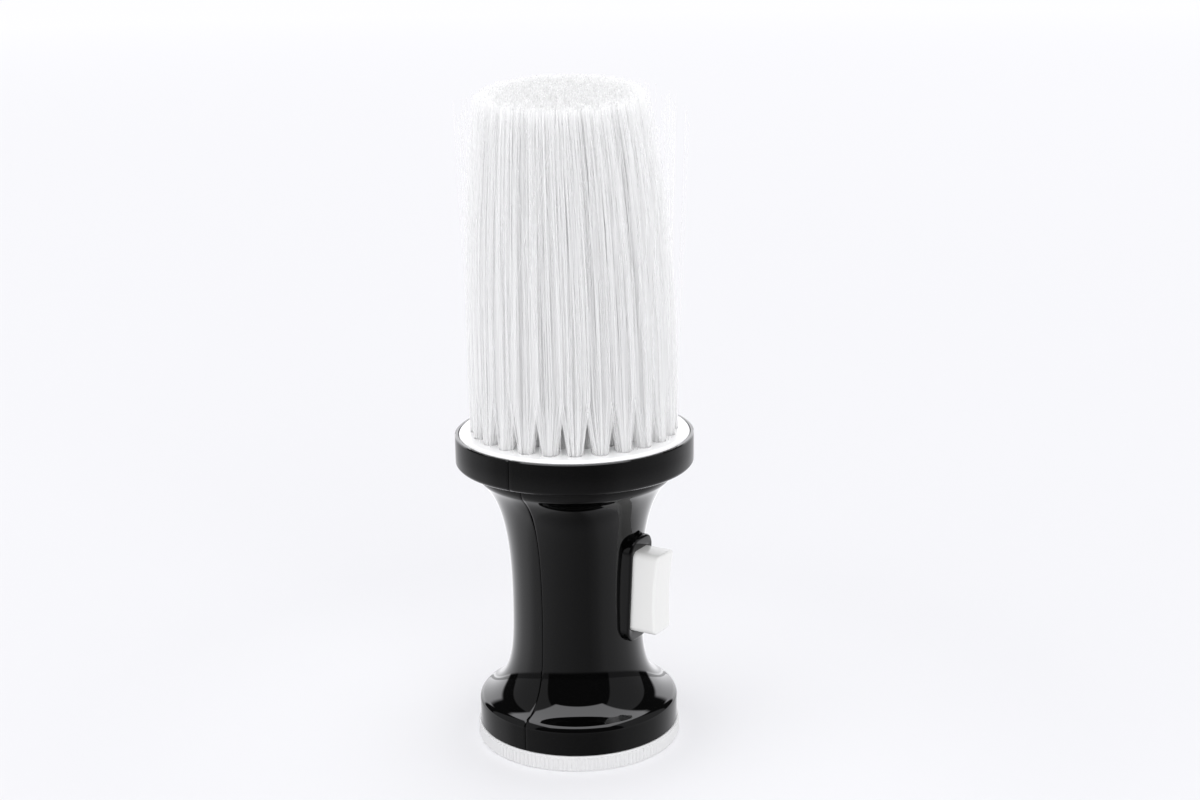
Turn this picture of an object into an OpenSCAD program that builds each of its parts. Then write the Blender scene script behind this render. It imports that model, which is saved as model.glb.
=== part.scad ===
// Neck duster brush with a powder dispenser in its handle.
// Millimetres. The origin is the centre of the screw cap's underside, +Z runs up the handle's axis,
// and the push button points along +X. The handle's two halves meet on the plane x = 0.

/* [Handle] */
// Outer radius of the top flange
flange_r = 32.5; // [30:0.5:40]
// Height of the flange's outer band
flange_h = 8.5; // [7.5:0.5:12]
// Height of the flange's upper edge above the table
flange_top = 88.1; // [84:0.1:106]
// Rounding of the flange's lower edge
flange_edge_r = 1; // [0.3:0.1:2]
// Width of the black lip round the tuft plate
lip_w = 0.9; // [0.7:0.1:1.5]
// Outer radius of the collar under the flange
collar_r = 27; // [25:0.1:28.5]
// Length of the collar's straight part, between its bend and the fillet
collar_run = 0.2; // [0.1:0.1:3]
// Radius of the fillet between the collar and the flange
collar_fillet = 1.8; // [0.5:0.1:3]
// Outer radius at the narrowest point of the waist
waist_r = 17.95; // [17:0.05:20]
// Height of the narrowest point of the waist
waist_z = 39.4; // [37:0.1:42]
// Outer radius of the base band
base_r = 27.7; // [26.5:0.1:33]
// Height of the straight base band
base_h = 6.3; // [5.5:0.1:8]
// Radius of the rounded shoulder over the base band
shoulder_r = 2.2; // [2:0.1:3.6]
// Wall thickness of the handle's halves
wall = 1.8; // [1.5:0.1:2.2]

/* [Cap] */
// Height of the screw cap under the base
cap_h = 4.5; // [4.2:0.1:6]
// How far the cap's ribs stand out past the base band
cap_proud = 0.6; // [0.2:0.1:1.5]
// Number of fine ribs round the cap
rib_count = 140; // [90:1:160]
// Depth of the ribs
rib_depth = 0.4; // [0.2:0.05:0.8]
// Thickness of the cap's floor
cap_floor = 1.8; // [1.2:0.1:2.4]
// Pitch of the cap's thread
thread_pitch = 3; // [2.4:0.1:3.6]
// Depth of the cap's thread
thread_depth = 0.8; // [0.5:0.1:1]
// Length of the cap's thread along the axis
thread_len = 4.2; // [3:0.1:4.2]

/* [Button] */
// Width of the push button
button_w = 9; // [8:0.5:11]
// Height of the push button
button_h = 22.9; // [19:0.1:25]
// Height of the button's middle above the table
button_z = 46.15; // [45.5:0.05:47]
// Distance of the button's outer face from the handle's axis
button_reach = 28; // [27:0.5:33]
// Depth of the hollow that the fingertip meets on the button's face
button_dish = 0.8; // [0:0.1:1.2]
// Width of the raised frame round the button
frame_w = 11.6; // [11.2:0.1:14]
// Height of the raised frame round the button
frame_h = 30; // [28:0.5:33]
// Distance of the frame's front face from the handle's axis
frame_reach = 20.4; // [20:0.1:22]
// Lean of the frame's and the button's faces in degrees, top outwards
face_lean = 3; // [0:0.5:4]

/* [Brush] */
// Thickness of the tuft plate
plate_t = 5.5; // [4.8:0.1:6]
// How far the plate's edge stands above the flange's lip
plate_proud = 0.6; // [0.2:0.1:1.2]
// How far the plate's middle stands above its edge
plate_dome = 0.7; // [0.4:0.1:1.2]
// Radius of one tuft
tuft_r = 2.05; // [1.6:0.05:2.3]
// Distance between neighbouring tufts of one ring
tuft_pitch = 6.6; // [6.2:0.1:8]
// Radius of the outermost ring of tufts
outer_ring_r = 26.4; // [25:0.1:27.5]
// Radius of the innermost ring of tufts
inner_ring_r = 6.6; // [6:0.1:7.5]
// Depth of a tuft's blind hole
tuft_hole = 3.8; // [3:0.1:4.2]
// Height of the bristles' trimmed end above the table, in the middle
brush_top = 180.6; // [150:0.1:216]
// How far the bristles lean in: ring radius at the tips over ring radius at the plate
lean = 0.77; // [0.7:0.01:1]

/* [Powder works] */
// Wall thickness of the powder canister
can_wall = 1.2; // [1:0.1:1.6]
// Height of the canister's top edge above the table
can_top = 30; // [28:0.5:30.5]
// Thickness of the canister's lid
lid_t = 2.4; // [2:0.1:2.6]
// Outer radius of the powder tube
tube_r = 2.5; // [2.2:0.1:2.8]
// Wall thickness of the powder tube
tube_wall = 0.75; // [0.6:0.05:0.9]
// Outer radius of the bellows' folds
bellows_r = 7.6; // [6.8:0.1:8]
// Number of folds in the bellows
bellows_folds = 3; // [2:1:4]
// Wall thickness of the bellows
bellows_wall = 0.8; // [0.6:0.1:1]
// Wire radius of the return spring
spring_wire_r = 0.3; // [0.2:0.05:0.4]
// Number of turns in the return spring
spring_turns = 5; // [3:1:7]

/* [Hidden] */
$fn = 96;
BLACK = "#1c1b19";
WHITE = "#ecece9";
BRISTLE = "#f3f3f1";
RUBBER = "#5c5c5c";
STEEL = "#b9bcc0";

// Clearances: seam between the halves, moulded parts pushed together, parts that move, thread flanks
seam_gap = 0.1;
push_gap = 0.05;
move_gap = 0.15;
thread_gap = 0.3;
can_gap = 0.4;
eps = 0.01;

// Places up the axis
base_z = cap_h + 0.1;
band_top = base_z + base_h;
flange_z = flange_top - flange_h;
collar_z = flange_z - collar_fillet - collar_run;
ledge_t = wall;
cup_floor = flange_z + ledge_t;
cup_r = flange_r - lip_w;

// The waist is two Bezier curves that leave the rounded shoulder and the rounded collar as tangents
shoulder_end = 65;
collar_turn = 47;
collar_bend = 3.2;
low_end = [base_r - shoulder_r + shoulder_r * cos(shoulder_end), band_top + shoulder_r * sin(shoulder_end)];
low_pull = low_end + 8.5 * [-sin(shoulder_end), cos(shoulder_end)];
high_end = [collar_r - collar_bend * (1 - cos(collar_turn)), collar_z - collar_bend * sin(collar_turn)];
high_pull = high_end - 9 * [sin(collar_turn), cos(collar_turn)];
waist_mid = [waist_r, waist_z];
waist_pull = 16;
curve_steps = 12;

function bezier(a, b, c, d, t) =
    pow(1 - t, 3) * a + 3 * pow(1 - t, 2) * t * b + 3 * (1 - t) * t * t * c + pow(t, 3) * d;
function curve(a, b, c, d) = [for (i = [1:curve_steps]) bezier(a, b, c, d, i / curve_steps)];
function arc(centre, r, from, to, steps) =
    [for (i = [0:steps]) centre + r * [cos(from + (to - from) * i / steps), sin(from + (to - from) * i / steps)]];

// Outline of the handle from the foot of the base band up to the start of the collar, as [radius, height]
waist_line = concat(
    [[base_r, base_z]],
    arc([base_r - shoulder_r, band_top], shoulder_r, 0, shoulder_end, 6),
    curve(low_end, low_pull, waist_mid - [0, waist_pull], waist_mid),
    curve(waist_mid, waist_mid + [0, waist_pull], high_pull, high_end),
    [for (p = arc([collar_r - collar_bend, collar_z], collar_bend, -collar_turn, 0, 6)) if (p[1] > high_end[1] + eps) p]
);
last = len(waist_line) - 1;

// The same outline moved in by d, square to itself
function along(i) = waist_line[min(i + 1, last)] - waist_line[max(i - 1, 0)];
function inset(i, d) = waist_line[i] + d * [-along(i)[1], along(i)[0]] / norm(along(i));
function waist_at(z) = lookup(z, [for (p = waist_line) [p[1], p[0]]]);

module ring(r_out, r_in, z0, z1) {
    translate([0, 0, z0]) difference() {
        cylinder(r = r_out, h = z1 - z0);
        translate([0, 0, -1]) cylinder(r = r_in, h = z1 - z0 + 2);
    }
}

// A cylinder from x0 to x1, along X, at the given y and z
module rod_x(r, x0, x1, y = 0, z = 0) {
    translate([x0, y, z]) rotate([0, 90, 0]) cylinder(r = r, h = x1 - x0);
}

// An upright plate with round corners that faces along X
module slab_x(w, h, r, x0, x1, z) {
    translate([x0, 0, z]) rotate([90, 0, 90]) linear_extrude(x1 - x0) round_rect(w, h, r);
}

module round_rect(w, h, r) {
    union() {
        square([w - 2 * r, h], center = true);
        square([w, h - 2 * r], center = true);
        for (sx = [-1, 1], sy = [-1, 1]) {
            translate([sx * (w / 2 - r), sy * (h / 2 - r)]) circle(r = r);
        }
    }
}

// ---- Handle halves ----

fillet_line = arc([collar_r + collar_fillet, flange_z - collar_fillet], collar_fillet, 180, 90, 5);
edge_line = arc([flange_r - flange_edge_r, flange_z + flange_edge_r], flange_edge_r, -90, 0, 5);
lip_bevel = 0.25;
outer_line = concat(
    waist_line,
    fillet_line,
    edge_line,
    [[flange_r, flange_top - lip_bevel], [flange_r - lip_bevel, flange_top], [cup_r, flange_top], [cup_r, cup_floor]]
);
ledge_w = 1.9;
neck_in_r = collar_r - wall;
ledge_r = neck_in_r - ledge_w;
groove_z = base_z + 2.2;
groove_h = 1.6;
groove_deep = 0.8;
base_in_r = base_r - wall;
inner_line = concat(
    [[ledge_r, cup_floor], [ledge_r, flange_z], [neck_in_r, flange_z]],
    [for (i = [last:-1:1]) inset(i, wall)],
    [[base_in_r, groove_z + groove_h], [base_in_r + groove_deep, groove_z + groove_h]],
    [[base_in_r + groove_deep, groove_z], [base_in_r, groove_z], [base_in_r, base_z]]
);

// Bosses that take the pins: [height, distance from the axis along Y]
boss_r = 2.2;
pin_r = 1;
pin_len = 6;
boss_heights = [waist_z - 2.4, waist_z + 16.6, collar_z - 6.5];
bosses = [for (z = boss_heights, s = [-1, 1]) [z, s * (waist_at(z) - wall) * 0.81]];

// The window that the frame's sleeve passes through
sleeve_wall = 0.9;
sleeve_w = button_w + 2 * (move_gap + sleeve_wall);
sleeve_h = button_h + 2 * (move_gap + sleeve_wall);
corner_r = 1.8;

module handle_wall() {
    rotate_extrude() polygon(concat(outer_line, inner_line));
}

module handle_solid(grow) {
    rotate_extrude() polygon(concat([[0, base_z]], [for (p = waist_line) p + [grow, 0]], [[0, collar_z]]));
}

module half_space(side) {
    reach = flange_r + 1;
    x0 = side > 0 ? seam_gap / 2 : -reach;
    translate([x0, -reach, 0]) cube([reach - seam_gap / 2, 2 * reach, flange_top + 1]);
}

module handle_bosses(side) {
    for (b = bosses) {
        inner = waist_at(b[0]) - wall;
        x1 = sqrt(inner * inner - b[1] * b[1]) + wall / 2;
        difference() {
            intersection() {
                rod_x(boss_r, side > 0 ? seam_gap / 2 : -x1, side > 0 ? x1 : -seam_gap / 2, b[1], b[0]);
                handle_solid(-wall / 2);
            }
            rod_x(pin_r + push_gap, -pin_len / 2 - 0.2, pin_len / 2 + 0.2, b[1], b[0]);
        }
    }
}

module handle_half(side) {
    union() {
        intersection() {
            handle_wall();
            half_space(side);
        }
        handle_bosses(side);
    }
}

module handle_half_front() {
    color(BLACK) difference() {
        handle_half(1);
        slab_x(sleeve_w + 2 * push_gap, sleeve_h + 2 * push_gap, corner_r + sleeve_wall, waist_r / 2, base_r, button_z);
    }
}

module handle_half_rear() {
    color(BLACK) handle_half(-1);
}

module locating_pins() {
    color(WHITE) for (b = bosses) {
        rod_x(pin_r, -pin_len / 2, pin_len / 2, b[1], b[0]);
    }
}

// ---- Button, its frame and the air pump ----

stop_x = sqrt(pow(waist_r - wall, 2) - pow(sleeve_w / 2, 2)) - 0.9;
flange_x = stop_x - 0.15;
button_flange_t = 1.4;
button_flange_grow = 0.9;
button_wall = 1.4;
frame_bevel = 0.5;
lean_out = button_h / 2 * tan(face_lean);

// Leans its children by face_lean about a point on the button's axis, so that their tops come outwards
module leaning(x) {
    translate([x, 0, button_z]) rotate([0, face_lean, 0]) translate([-x, 0, -button_z]) children();
}

module button_frame() {
    color(BLACK) difference() {
        union() {
            difference() {
                leaning(frame_reach) {
                    slab_x(frame_w, frame_h, 4, waist_r / 2, frame_reach - frame_bevel, button_z);
                    slab_x(frame_w - 2 * frame_bevel, frame_h - 2 * frame_bevel, 4 - frame_bevel,
                        frame_reach - frame_bevel - eps, frame_reach, button_z);
                }
                handle_solid(push_gap);
            }
            slab_x(sleeve_w, sleeve_h, corner_r + sleeve_wall, stop_x, frame_reach - frame_bevel - lean_out, button_z);
        }
        slab_x(button_w + 2 * move_gap, button_h + 2 * move_gap, corner_r + move_gap, waist_r / 2, base_r, button_z);
    }
}

// The dish is part of a large drum that lies across the button's face
dish_drum_r = (pow(button_h / 2, 2) + pow(button_dish, 2)) / (2 * max(button_dish, 0.05));
stem_r = 2.2;
stem_socket_r = 3.4;
button_edge = 0.5;
button_top_x = button_reach + lean_out;
plunger_x = flange_x - button_flange_t - 1.1;
plunger_t = 1.2;
plunger_r = 5.4;

module push_button() {
    tip = button_reach - button_wall - button_dish - lean_out;
    color(WHITE) difference() {
        union() {
            difference() {
                union() {
                    slab_x(button_w, button_h, corner_r, flange_x - button_flange_t, button_top_x - button_edge, button_z);
                    slab_x(button_w - 2 * button_edge, button_h - 2 * button_edge, corner_r - button_edge,
                        button_top_x - button_edge - eps, button_top_x, button_z);
                    slab_x(button_w + 2 * button_flange_grow + 2 * move_gap, button_h + 2 * button_flange_grow
                        + 2 * move_gap, corner_r + button_flange_grow, flange_x - button_flange_t, flange_x, button_z);
                }
                slab_x(button_w - 2 * button_wall, button_h - 2 * button_wall, 1, 0, tip, button_z);
            }
            rod_x(stem_socket_r, flange_x - button_flange_t, tip + eps, 0, button_z);
        }
        rod_x(stem_r + push_gap, 0, tip - 1, 0, button_z);
        leaning(button_reach) translate([button_reach + dish_drum_r - button_dish, button_w, button_z])
            rotate([90, 0, 0]) cylinder(r = dish_drum_r, h = 2 * button_w);
    }
}

module button_plunger() {
    tip = button_reach - button_wall - button_dish - lean_out;
    color(WHITE) union() {
        rod_x(plunger_r, plunger_x - plunger_t, plunger_x, 0, button_z);
        rod_x(stem_r, plunger_x - plunger_t, tip - 1 - push_gap, 0, button_z);
    }
}

seat_front = -3;
seat_t = 4.4;
seat_boss_r = 5.2;
seat_boss_len = 2;
seat_w = 13;
seat_top = button_z + 6.9;
port_r = 0.8;
port_off = 1.9;
duct_x = seat_front - seat_t / 2;
duct_r = 1.2;
lid_top = can_top + lid_t;
spring_x0 = seat_front + seat_boss_len;
bellows_x1 = plunger_x - plunger_t - 0.1;
bellows_end_t = 1;
fold_len = (bellows_x1 - bellows_end_t - spring_x0) / bellows_folds;
fold_in_r = 5.6;
neck_r = seat_boss_r + push_gap + bellows_wall;

module bellows() {
    outside = concat(
        [[neck_r, seat_front + 0.1], [neck_r, spring_x0]],
        [for (i = [0:bellows_folds - 1], k = [0.5, 1])
            [k < 1 ? bellows_r : fold_in_r + bellows_wall, spring_x0 + (i + k) * fold_len]],
        [[fold_in_r + bellows_wall, bellows_x1], [0, bellows_x1], [0, bellows_x1 - bellows_end_t]]
    );
    inside = concat(
        [for (i = [bellows_folds - 1:-1:0], k = [1, 0.5])
            [(k < 1 ? bellows_r : fold_in_r + bellows_wall) - bellows_wall, spring_x0 + (i + k) * fold_len]],
        [[seat_boss_r + push_gap, spring_x0], [seat_boss_r + push_gap, seat_front + 0.1]]
    );
    color(RUBBER) translate([0, 0, button_z]) rotate([0, 90, 0])
        rotate_extrude() polygon(concat(outside, inside));
}

module bellows_seat() {
    color(WHITE) difference() {
        union() {
            translate([seat_front - seat_t, -seat_w / 2, lid_top]) cube([seat_t, seat_w, seat_top - lid_top]);
            rod_x(seat_boss_r, seat_front - eps, spring_x0, 0, button_z);
        }
        translate([duct_x, 0, lid_top - 1]) cylinder(r = duct_r, h = button_z - port_off - lid_top + 1);
        rod_x(port_r, duct_x, spring_x0 + 1, 0, button_z - port_off);
        rod_x(port_r, seat_front - seat_t - 1, spring_x0 + 1, 0, button_z + port_off);
    }
}

flap_r = 1.4;
flap_t = 0.4;

module inlet_flap() {
    color(RUBBER) rod_x(flap_r, spring_x0 + 0.05, spring_x0 + 0.05 + flap_t, 0, button_z + port_off);
}

// A coil from x0 to x1 about the button's axis, drawn as rings of six points
module button_spring() {
    sides = 6;
    steps = 20;
    rings = spring_turns * steps;
    coil_r = 3.9;
    x0 = spring_x0 + spring_wire_r + 0.1;
    x1 = bellows_x1 - bellows_end_t - spring_wire_r - 0.1;
    points = [for (i = [0:rings], k = [0:sides - 1])
        let (turn = 360 * i / steps, r = coil_r + spring_wire_r * cos(360 * k / sides))
        [x0 + (x1 - x0) * i / rings + spring_wire_r * sin(360 * k / sides), r * cos(turn), r * sin(turn)]];
    sides_faces = [for (i = [0:rings - 1], k = [0:sides - 1])
        let (a = i * sides + k, b = i * sides + (k + 1) % sides) [a, b, b + sides, a + sides]];
    ends = [[for (k = [sides - 1:-1:0]) k], [for (k = [0:sides - 1]) rings * sides + k]];
    color(STEEL) translate([0, 0, button_z]) polyhedron(points, concat(sides_faces, ends));
}

// ---- Powder canister, lid and tubes ----

can_in = wall + can_gap;
mouth_r = base_r - can_in;
mouth_z = base_z + 0.2;
tongue_r = base_in_r + groove_deep - 0.25;
can_points = [for (i = [1:last]) if (waist_line[i][1] < can_top - 0.5) i];
thread_in_r = mouth_r - can_wall;
thread_z = mouth_z + 0.8;
spigot_top = thread_z + thread_len + 0.4;

function trapezoid(u) = u < 0.15 ? 0 : u < 0.4 ? (u - 0.15) / 0.25 : u < 0.6 ? 1 : u < 0.85 ? (0.85 - u) / 0.25 : 0;
function turn_part(v) = v - floor(v);

// A sleeve with a screw surface on one side and a plain wall on the other. The crest is a right-hand helix.
module threaded_sleeve(root_r, rise, plain_r, z0, z1) {
    around = 60;
    levels = ceil((z1 - z0) / (thread_pitch / 6));
    screw = [for (j = [0:levels], i = [0:around - 1])
        let (z = z0 + (z1 - z0) * j / levels, a = 360 * i / around)
        let (r = root_r + rise * trapezoid(turn_part(z / thread_pitch - a / 360)))
        [r * cos(a), r * sin(a), z]];
    plain = [for (z = [z0, z1], i = [0:around - 1]) [plain_r * cos(360 * i / around), plain_r * sin(360 * i / around), z]];
    low = len(screw);
    high = low + around;
    out = root_r > plain_r;
    faces = concat(
        [for (j = [0:levels - 1], i = [0:around - 1], h = [0, 1])
            let (a = j * around + i, b = j * around + (i + 1) % around)
            h == 0 ? [a, b, b + around] : [a, b + around, a + around]],
        [for (i = [0:around - 1]) let (n = (i + 1) % around) [low + n, low + i, high + i, high + n]],
        [for (i = [0:around - 1]) let (n = (i + 1) % around) [i, low + i, low + n, n]],
        [for (i = [0:around - 1]) let (n = (i + 1) % around, t = levels * around) [t + n, high + n, high + i, t + i]]
    );
    polyhedron(concat(screw, plain), out ? [for (f = faces) [for (k = [len(f) - 1:-1:0]) f[k]]] : faces);
}

module powder_canister() {
    top_r = waist_at(can_top) - can_in;
    outside = concat(
        [[mouth_r, mouth_z], [mouth_r, groove_z + 0.2], [tongue_r, groove_z + 0.2]],
        [[tongue_r, groove_z + groove_h - 0.2], [mouth_r, groove_z + groove_h - 0.2]],
        [for (i = can_points) if (inset(i, can_in)[0] < mouth_r - eps) inset(i, can_in)],
        [[top_r, can_top]]
    );
    inside = concat(
        [[top_r - can_wall, can_top]],
        [for (k = [len(can_points) - 1:-1:0]) if (inset(can_points[k], can_in + can_wall)[0] < thread_in_r)
            inset(can_points[k], can_in + can_wall)],
        [[thread_in_r, spigot_top], [thread_in_r, mouth_z]]
    );
    color(WHITE) union() {
        rotate_extrude() polygon(concat(outside, inside));
        threaded_sleeve(thread_in_r - 0.1 - thread_depth, thread_depth, thread_in_r + can_wall / 2,
            mouth_z + 0.3, mouth_z + 0.3 + thread_len + 0.6);
    }
}

out_x = -(waist_r - wall - tube_r - 2.6);
tube_in_r = tube_r - tube_wall;
spigot_r = tube_in_r - push_gap;
spigot_wall = 0.6;
dip_r = 1.9;
dip_z = band_top + 2;
dip_sleeve_h = 4;
flap_pocket_r = flap_r + 1;
flap_pocket = 1.4;

module canister_lid() {
    plug_r = waist_at(can_top) - can_in - can_wall - 0.1;
    color(WHITE) difference() {
        union() {
            translate([0, 0, can_top + push_gap]) cylinder(r = plug_r + can_wall, h = lid_t - push_gap);
            ring(plug_r, plug_r - 0.7, can_top - 3, can_top + push_gap + eps);
            translate([out_x, 0, lid_top - eps]) cylinder(r = spigot_r, h = 4.6);
            translate([duct_x, 0, can_top - dip_sleeve_h]) cylinder(r = dip_r + 1.1, h = dip_sleeve_h + 1);
        }
        translate([out_x, 0, can_top - 1]) cylinder(r = spigot_r - spigot_wall, h = lid_t + 8);
        translate([duct_x, 0, lid_top - flap_pocket]) cylinder(r = flap_pocket_r, h = flap_pocket + 1);
        translate([duct_x, 0, can_top - 1]) cylinder(r = port_r, h = lid_t);
        translate([duct_x, 0, can_top - dip_sleeve_h - 1]) cylinder(r = dip_r + push_gap, h = dip_sleeve_h + 1);
    }
}

module outlet_flap() {
    color(RUBBER) translate([duct_x, 0, lid_top - 0.05 - flap_t]) cylinder(r = flap_r + 0.4, h = flap_t);
}

module air_dip_tube() {
    color(WHITE) translate([duct_x, 0, 0]) ring(dip_r, dip_r - 0.6, dip_z, can_top - push_gap);
}

// The powder tube runs up beside the bellows, crosses to the axis in an S and enters the nozzle
bend_r = 8;
bend_a = 40;
bend_z = button_z + bellows_r + 0.4;
cross_len = (-out_x - 2 * bend_r * (1 - cos(bend_a))) / sin(bend_a);
bend_h = 2 * bend_r * sin(bend_a) + cross_len * cos(bend_a);
bend_top = bend_z + bend_h;
nozzle_foot = bend_top + 2;

// Stations along the S: [x, z, tilt of the tube from upright]
turn_steps = 5;
bend_path = concat(
    [for (i = [0:turn_steps]) let (a = bend_a * i / turn_steps)
        [out_x + bend_r * (1 - cos(a)), bend_z + bend_r * sin(a), a]],
    [for (i = [turn_steps:-1:0]) let (a = bend_a * i / turn_steps)
        [-bend_r * (1 - cos(a)), bend_top - bend_r * sin(a), a]]
);

module powder_tube_lower() {
    color(WHITE) translate([out_x, 0, 0]) ring(tube_r, tube_in_r, lid_top + push_gap, bend_z);
}

module powder_tube_bend() {
    sides = 12;
    rings = len(bend_path);
    points = [for (r = [tube_r, tube_in_r], p = bend_path, k = [0:sides - 1])
        let (u = r * cos(360 * k / sides), v = r * sin(360 * k / sides))
        [p[0] + u * cos(p[2]), v, p[1] - u * sin(p[2])]];
    inner = rings * sides;
    top = (rings - 1) * sides;
    walls = [for (i = [0:rings - 2], k = [0:sides - 1], skin = [0, 1])
        let (a = i * sides + k, b = i * sides + (k + 1) % sides)
        skin == 0 ? [a, a + sides, b + sides, b] : [inner + a, inner + b, inner + b + sides, inner + a + sides]];
    ends = [for (k = [0:sides - 1], end = [0, 1])
        let (a = k, b = (k + 1) % sides)
        end == 0 ? [a, b, inner + b, inner + a] : [top + b, top + a, inner + top + a, inner + top + b]];
    color(WHITE) polyhedron(points, concat(walls, ends));
}

module powder_tube_upper() {
    color(WHITE) ring(tube_r, tube_in_r, bend_top, cup_floor - 1.2);
}

nozzle_r = 2.5;
nozzle_flange_r = 4.2;
nozzle_rise = 5;
plate_under = flange_top - plate_t;

module powder_nozzle() {
    bore_r = spigot_r - spigot_wall;
    flange_low = plate_under - 1.2 - push_gap;
    tip_z = flange_top + plate_proud + plate_dome + nozzle_rise;
    color(WHITE) difference() {
        union() {
            translate([0, 0, nozzle_foot]) cylinder(r = spigot_r, h = flange_low - nozzle_foot + eps);
            translate([0, 0, flange_low]) cylinder(r = nozzle_flange_r, h = 1.2);
            translate([0, 0, flange_low]) cylinder(r = nozzle_r, h = tip_z - 1.5 - flange_low);
            translate([0, 0, tip_z - 1.5]) cylinder(r1 = nozzle_r, r2 = nozzle_r - 0.9, h = 1.5);
        }
        translate([0, 0, nozzle_foot - 1]) cylinder(r = bore_r, h = tip_z - nozzle_foot + 2);
    }
}

// ---- Tuft plate and bristles ----

plate_r = cup_r - 0.1;
plate_edge = 1.2;
leg_count = 4;
leg_w = 5;
leg_r = ledge_r - 0.2;
leg_t = 1.6;
hook = 1.2;
hook_top = flange_z - 0.1;

// Each ring of tufts is a node of its own; the rings lie evenly between the outermost and the innermost
ring_count = 4;
function ring_r(k) = outer_ring_r - k * (outer_ring_r - inner_ring_r) / (ring_count - 1);
function tufts_in(k) = max(3, round(360 / (2 * asin(min(1, tuft_pitch / (2 * ring_r(k)))))));
function lean_angle(k) = atan(ring_r(k) * (1 - lean) / (brush_top - flange_top));
function top_of_plate(r) = flange_top + plate_proud + plate_dome * (1 - pow(r / plate_r, 2));

// Height of the trimmed end at a point: a shallow dome that also slopes down towards one side
trim_dome = 1.2;
trim_slope = 0.12;
trim_dir = 121.2;
function trim_z(x, y) =
    brush_top - trim_dome * (x * x + y * y) / 450 + trim_slope * (x * cos(trim_dir) + y * sin(trim_dir));

// Puts its child in the frame of tuft i of ring k: origin at the bottom of the hole, +Z up the tuft
module at_tuft(k, i) {
    rotate([0, 0, 360 * i / tufts_in(k) + 7 * k])
        translate([ring_r(k), 0, top_of_plate(ring_r(k)) - tuft_hole])
        rotate([0, -lean_angle(k), 0]) children();
}

anchor_h = 1.6;
anchor_t = 0.3;

module tuft_ring(k) {
    for (i = [0:tufts_in(k) - 1]) {
        a = 360 * i / tufts_in(k) + 7 * k;
        tip_r = ring_r(k) * lean;
        length = (trim_z(tip_r * cos(a), tip_r * sin(a)) - top_of_plate(ring_r(k)) + tuft_hole) / cos(lean_angle(k));
        at_tuft(k, i) difference() {
            translate([0, 0, 0.1]) cylinder(r = tuft_r, h = length, $fn = 32);
            translate([-tuft_r, -anchor_t / 2 - push_gap, 0]) cube([2 * tuft_r, anchor_t + 2 * push_gap, anchor_h]);
        }
    }
}

module bristles_outer() { color(BRISTLE) tuft_ring(0); }
module bristles_second() { color(BRISTLE) tuft_ring(1); }
module bristles_third() { color(BRISTLE) tuft_ring(2); }
module bristles_inner() { color(BRISTLE) tuft_ring(3); }

module tuft_anchors() {
    w = 2 * tuft_r - 0.3;
    color(STEEL) for (k = [0:ring_count - 1], i = [0:tufts_in(k) - 1]) {
        at_tuft(k, i) translate([-w / 2, -anchor_t / 2, 0.1]) cube([w, anchor_t, anchor_h - 0.3]);
    }
}

module plate_legs() {
    for (i = [0:leg_count - 1]) {
        rotate([0, 0, 45 + 360 * i / leg_count]) intersection() {
            rotate_extrude() polygon([
                [leg_r - leg_t, plate_under + eps], [leg_r - leg_t, hook_top - 1.8], [leg_r, hook_top - 1.8],
                [leg_r + hook, hook_top - 0.6], [leg_r + hook, hook_top], [leg_r, hook_top], [leg_r, plate_under + eps]
            ]);
            translate([0, -leg_w / 2, 0]) cube([flange_r, leg_w, flange_top]);
        }
    }
}

module tuft_plate() {
    edge_z = flange_top + plate_proud;
    dome = [for (i = [0:8]) [(plate_r - plate_edge) * (1 - i / 8), top_of_plate((plate_r - plate_edge) * (1 - i / 8))]];
    round_edge = arc([plate_r - plate_edge, edge_z - plate_edge], plate_edge, 0, 80, 5);
    color(WHITE) difference() {
        union() {
            rotate_extrude() polygon(concat([[0, plate_under], [plate_r, plate_under]], round_edge, dome));
            ring(plate_r, plate_r - 1.5, cup_floor + push_gap, plate_under + eps);
            plate_legs();
        }
        translate([0, 0, plate_under - 1]) cylinder(r = nozzle_r + push_gap, h = plate_t + 3);
        for (k = [0:ring_count - 1], i = [0:tufts_in(k) - 1]) {
            at_tuft(k, i) cylinder(r = tuft_r + push_gap, h = tuft_hole + 3);
        }
    }
}

// ---- Screw cap and its seal ----

cap_r = base_r + cap_proud;
male_r = thread_in_r - 0.1 - thread_gap - thread_depth;
spigot_t = 1.4;
shelf_z = cap_h - 1.1;
seal_r = mouth_r + 0.2;

module cap_seal() {
    color(RUBBER) ring(seal_r, male_r + 0.4, shelf_z + push_gap, mouth_z - 0.1);
}

module rib_outline() {
    polygon([for (i = [0:2 * rib_count - 1])
        (cap_r - rib_depth * (i % 2)) * [cos(180 * i / rib_count), sin(180 * i / rib_count)]]);
}

module bottom_cap() {
    rim = 0.6;
    smooth_r = cap_r - rib_depth / 2;
    color(WHITE) union() {
        difference() {
            union() {
                cylinder(r1 = smooth_r - rim / 2, r2 = smooth_r, h = rim);
                translate([0, 0, rim - eps]) linear_extrude(cap_h - 2 * rim + 2 * eps) rib_outline();
                translate([0, 0, cap_h - rim]) cylinder(r = smooth_r - 0.15, h = rim);
            }
            translate([0, 0, shelf_z]) cylinder(r = seal_r + 0.3, h = cap_h);
            translate([0, 0, cap_floor]) cylinder(r = male_r - spigot_t, h = cap_h);
        }
        ring(male_r, male_r - spigot_t, cap_floor, spigot_top);
        threaded_sleeve(male_r + 0.01, thread_depth, male_r - spigot_t / 2, thread_z, thread_z + thread_len);
    }
}

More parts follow.
